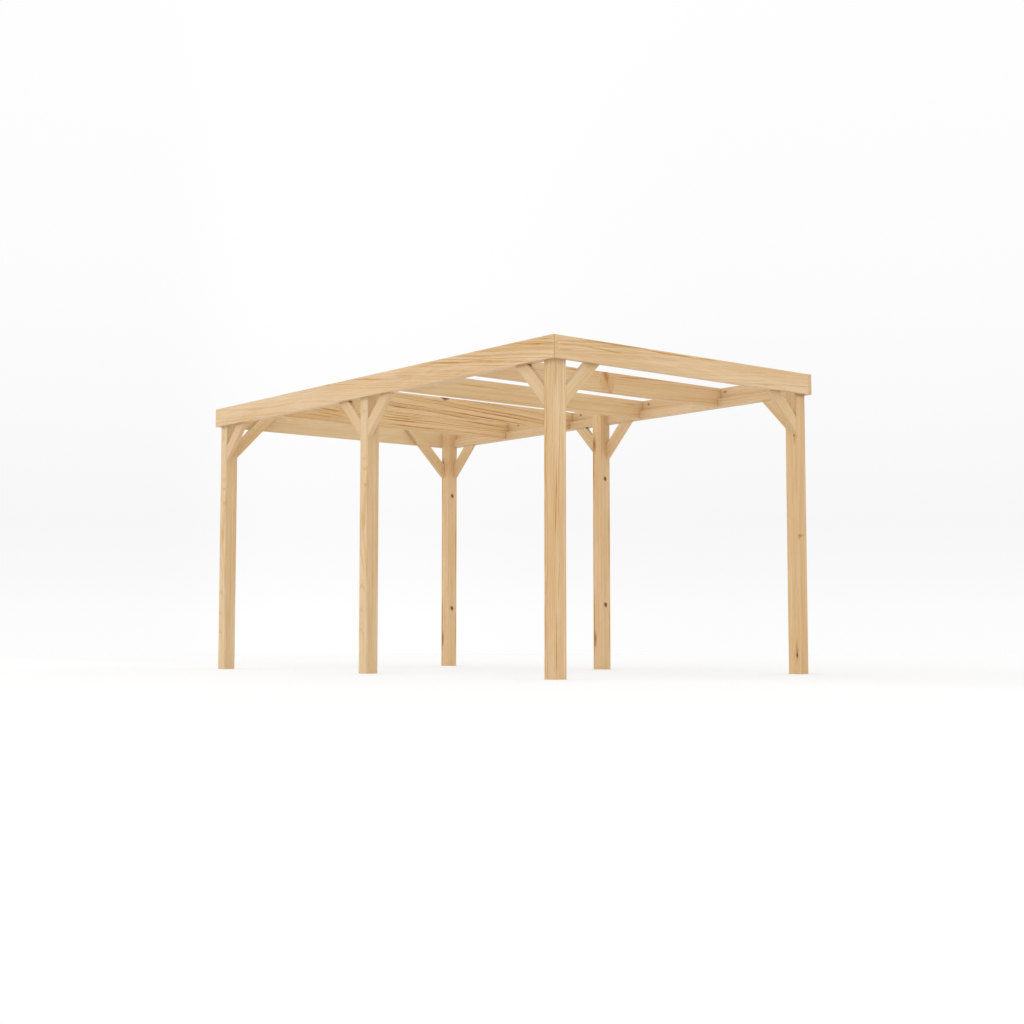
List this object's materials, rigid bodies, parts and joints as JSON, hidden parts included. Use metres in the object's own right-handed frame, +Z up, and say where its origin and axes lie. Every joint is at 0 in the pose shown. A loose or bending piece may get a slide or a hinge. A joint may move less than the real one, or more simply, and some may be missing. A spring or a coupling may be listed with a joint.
{
  "type": "box pergola",
  "caption": "Free-standing timber box pergola: square posts, a ring of boards on edge, joists notched over ledgers and diagonal knee braces under the corners and middle posts.",
  "frame": {"origin": "on the ground, at the middle of the plan", "axes": "+Z up; +X along the short ends, from left to right; +Y along the long sides, from front to back"},
  "size_m": [3, 5.25, 2.625],
  "materials": {
    "post_timber": "planed pale softwood, untreated, fine upright grain with a few knots",
    "board_timber": "planed pale softwood, untreated, broad flame grain along the board",
    "ledger_timber": "planed pale softwood, untreated, straight grain",
    "joist_timber": "planed pale softwood, untreated, strong darker grain lines",
    "brace_timber": "planed pale softwood, untreated, straight grain along the brace"
  },
  "bodies": {
    "root": {"post_front_left": "post_timber", "post_mid_left": "post_timber", "post_back_left": "post_timber", "post_front_right": "post_timber", "post_mid_right": "post_timber", "post_back_right": "post_timber", "side_board_left": "board_timber", "side_board_right": "board_timber", "end_board_front": "board_timber", "end_board_back": "board_timber", "ledger_front_left": "ledger_timber", "ledger_back_left": "ledger_timber", "ledger_front_right": "ledger_timber", "ledger_back_right": "ledger_timber", "joist_1": "joist_timber", "joist_2": "joist_timber", "joist_3": "joist_timber", "joist_4": "joist_timber", "side_brace_front_left": "brace_timber", "side_brace_front_right": "brace_timber", "side_brace_back_left": "brace_timber", "side_brace_back_right": "brace_timber", "end_brace_front_left": "brace_timber", "end_brace_front_right": "brace_timber", "end_brace_back_left": "brace_timber", "end_brace_back_right": "brace_timber", "mid_brace_front_left": "brace_timber", "mid_brace_front_right": "brace_timber", "mid_brace_back_left": "brace_timber", "mid_brace_back_right": "brace_timber"}
  },
  "joints": []
}
